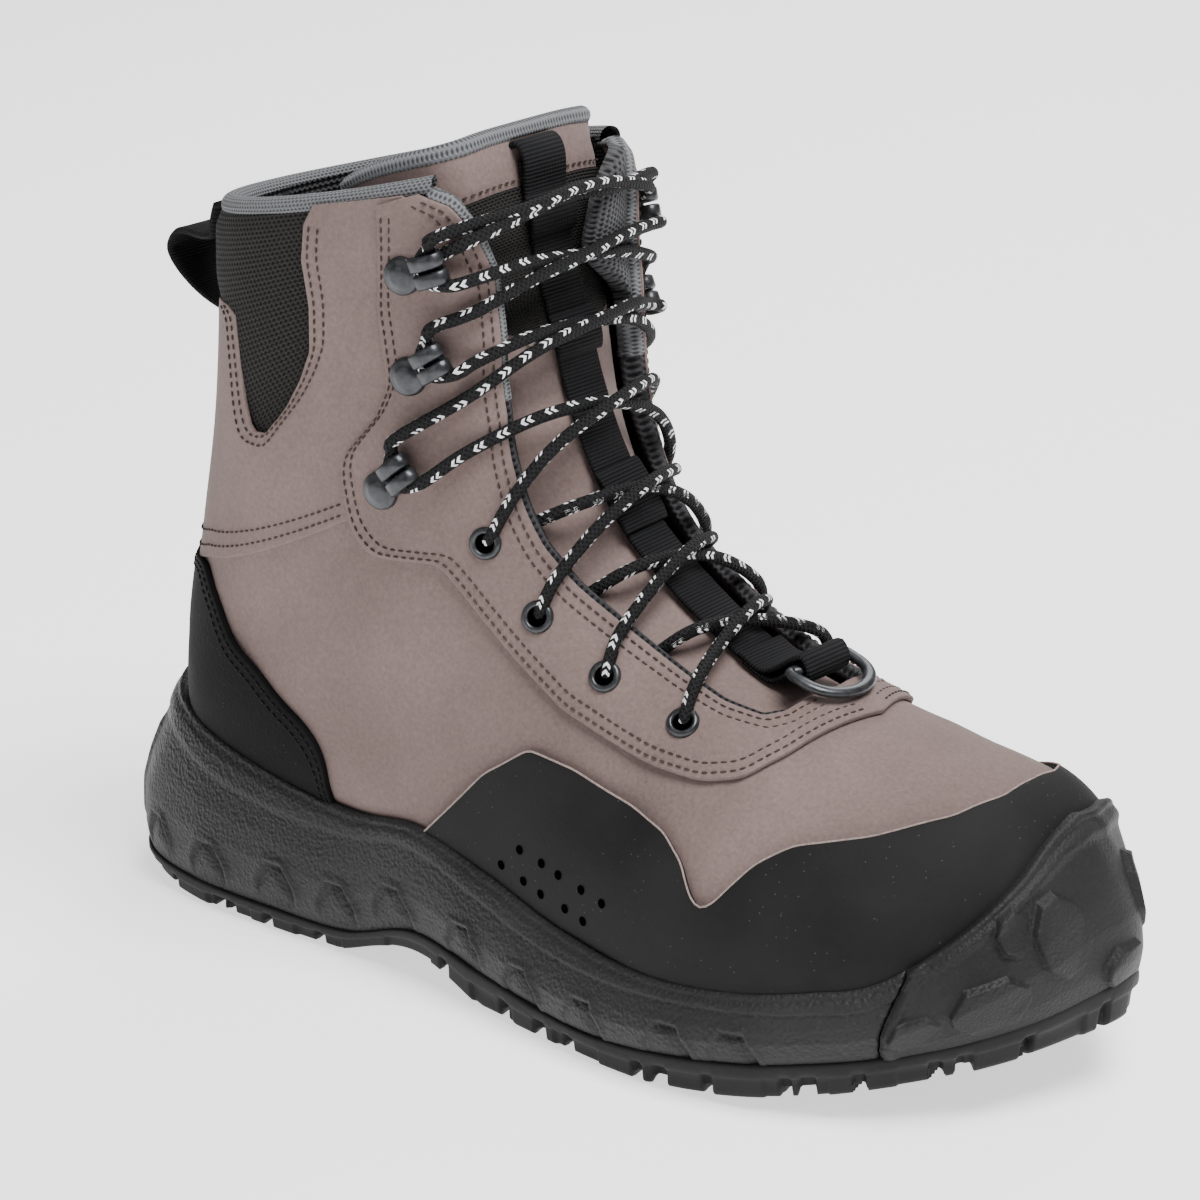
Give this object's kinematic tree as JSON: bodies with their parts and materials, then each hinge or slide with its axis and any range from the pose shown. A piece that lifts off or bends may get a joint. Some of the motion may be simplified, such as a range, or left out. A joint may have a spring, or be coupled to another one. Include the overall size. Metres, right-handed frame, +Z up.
{
  "type": "wading boot",
  "caption": "Ankle-high lace-up wading boot for the right foot, with rubber toe rand and heel counter, thick midsole, lugged outsole, hooks, eyelets and a hinged D-ring.",
  "frame": {"origin": "on the floor under the middle of the boot's bounding box", "axes": "+X towards the toe, +Y towards the inner side of the foot, +Z up; the sole stands on z = 0"},
  "size_m": [0.3, 0.1174, 0.2179],
  "materials": {
    "nubuck": "matte, short nap",
    "rand_rubber": "satin, fine grain",
    "toe_rubber": "satin, moulded relief",
    "foam": "matte, pebbled",
    "tread": "matte",
    "insole": "matte",
    "webbing": "matte, woven",
    "lace": "matte, braided",
    "gunmetal": "satin, dark grey"
  },
  "bodies": {
    "boot": {"outsole": "tread", "midsole": "foam", "toe_bumper": "toe_rubber", "insole": "insole", "upper": "nubuck", "toe_rand": "rand_rubber", "heel_counter": "rand_rubber", "eyestay": "nubuck", "tongue": "nubuck", "tongue_strap": "webbing", "ring_tab": "webbing", "pull_loop": "webbing", "eyelet_outer_1": "gunmetal", "eyelet_outer_2": "gunmetal", "eyelet_outer_3": "gunmetal", "eyelet_outer_4": "gunmetal", "hook_outer_1": "gunmetal", "hook_outer_2": "gunmetal", "hook_outer_3": "gunmetal", "eyelet_inner_1": "gunmetal", "eyelet_inner_2": "gunmetal", "eyelet_inner_3": "gunmetal", "eyelet_inner_4": "gunmetal", "hook_inner_1": "gunmetal", "hook_inner_2": "gunmetal", "hook_inner_3": "gunmetal", "lace_crossing_1": "lace", "lace_crossing_2": "lace", "lace_crossing_3": "lace", "lace_crossing_4": "lace", "lace_crossing_5": "lace", "lace_crossing_6": "lace"},
    "ring": {"d_ring": "gunmetal"}
  },
  "joints": [
    {"name": "ring_swing", "type": "hinge", "parent": "boot", "child": "ring", "pos_m": [0.06217, 0.00601, 0.09376], "axis": [0, -1, 0], "range_deg": [0, 120]}
  ]
}
